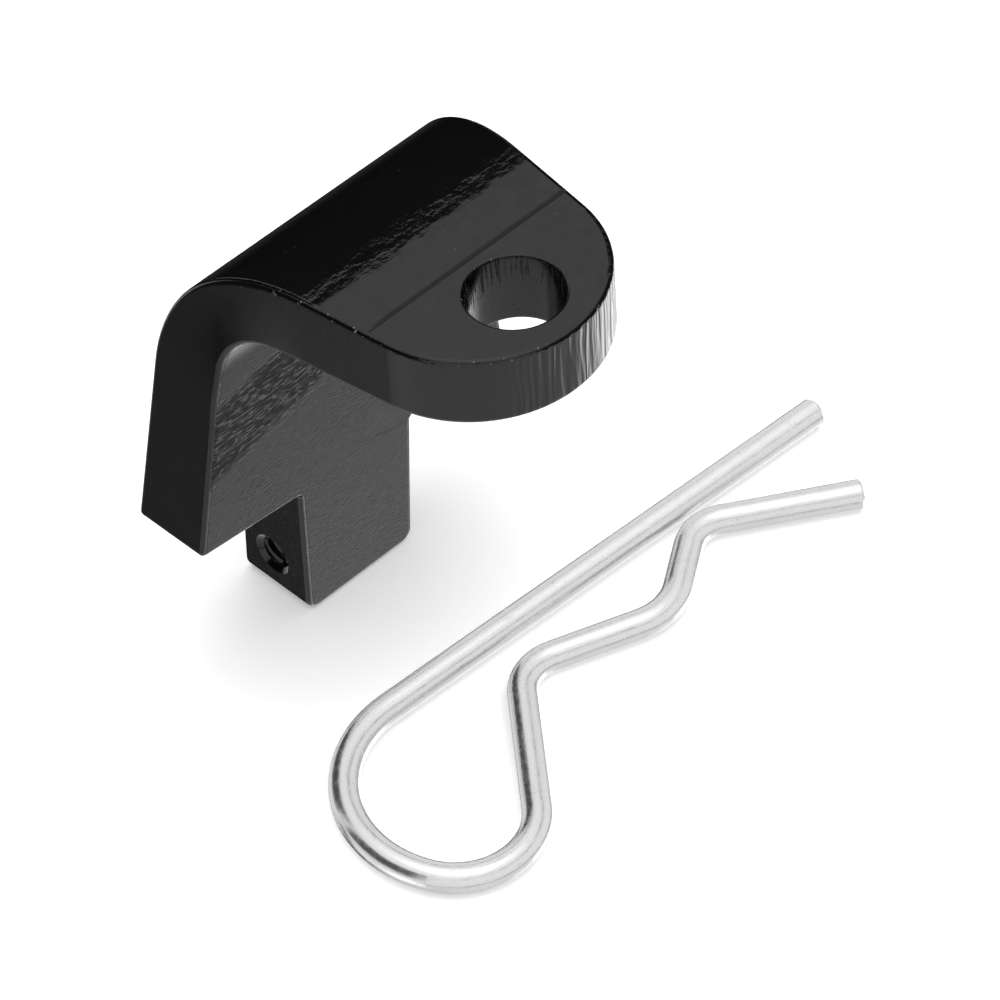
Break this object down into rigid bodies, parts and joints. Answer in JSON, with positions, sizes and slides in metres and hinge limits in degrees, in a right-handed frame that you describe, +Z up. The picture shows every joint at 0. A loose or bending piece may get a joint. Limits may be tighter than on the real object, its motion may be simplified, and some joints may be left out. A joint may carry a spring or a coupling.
{
  "type": "gravity gate latch",
  "caption": "bent gravity latch body with a holed tongue, flared shoulders and threaded pivot lug, with a loose spring wire hitch pin clip",
  "frame": {"origin": "middle of the row's footprint, on the level of the lug foot and of the clip's underside", "axes": "+X from the leg toward the rounded tongue end, +Y along the bend toward the clip's free ends, +Z up, square to the tongue's top face"},
  "size_m": [0.0682, 0.1002, 0.0766],
  "materials": {
    "black_coat": "black gloss coat over cast steel, slight orange peel",
    "zinc_wire": "bright zinc plated spring wire with fine draw lines"
  },
  "bodies": {
    "latch": {"latch_body": "black_coat"},
    "clip": {"hitch_pin_clip": "zinc_wire"}
  },
  "joints": [
    {"name": "clip_lift", "type": "slide", "parent": "latch", "child": "clip", "axis": [0.8, 0, 0.6], "range_m": [0, 0.12]}
  ]
}
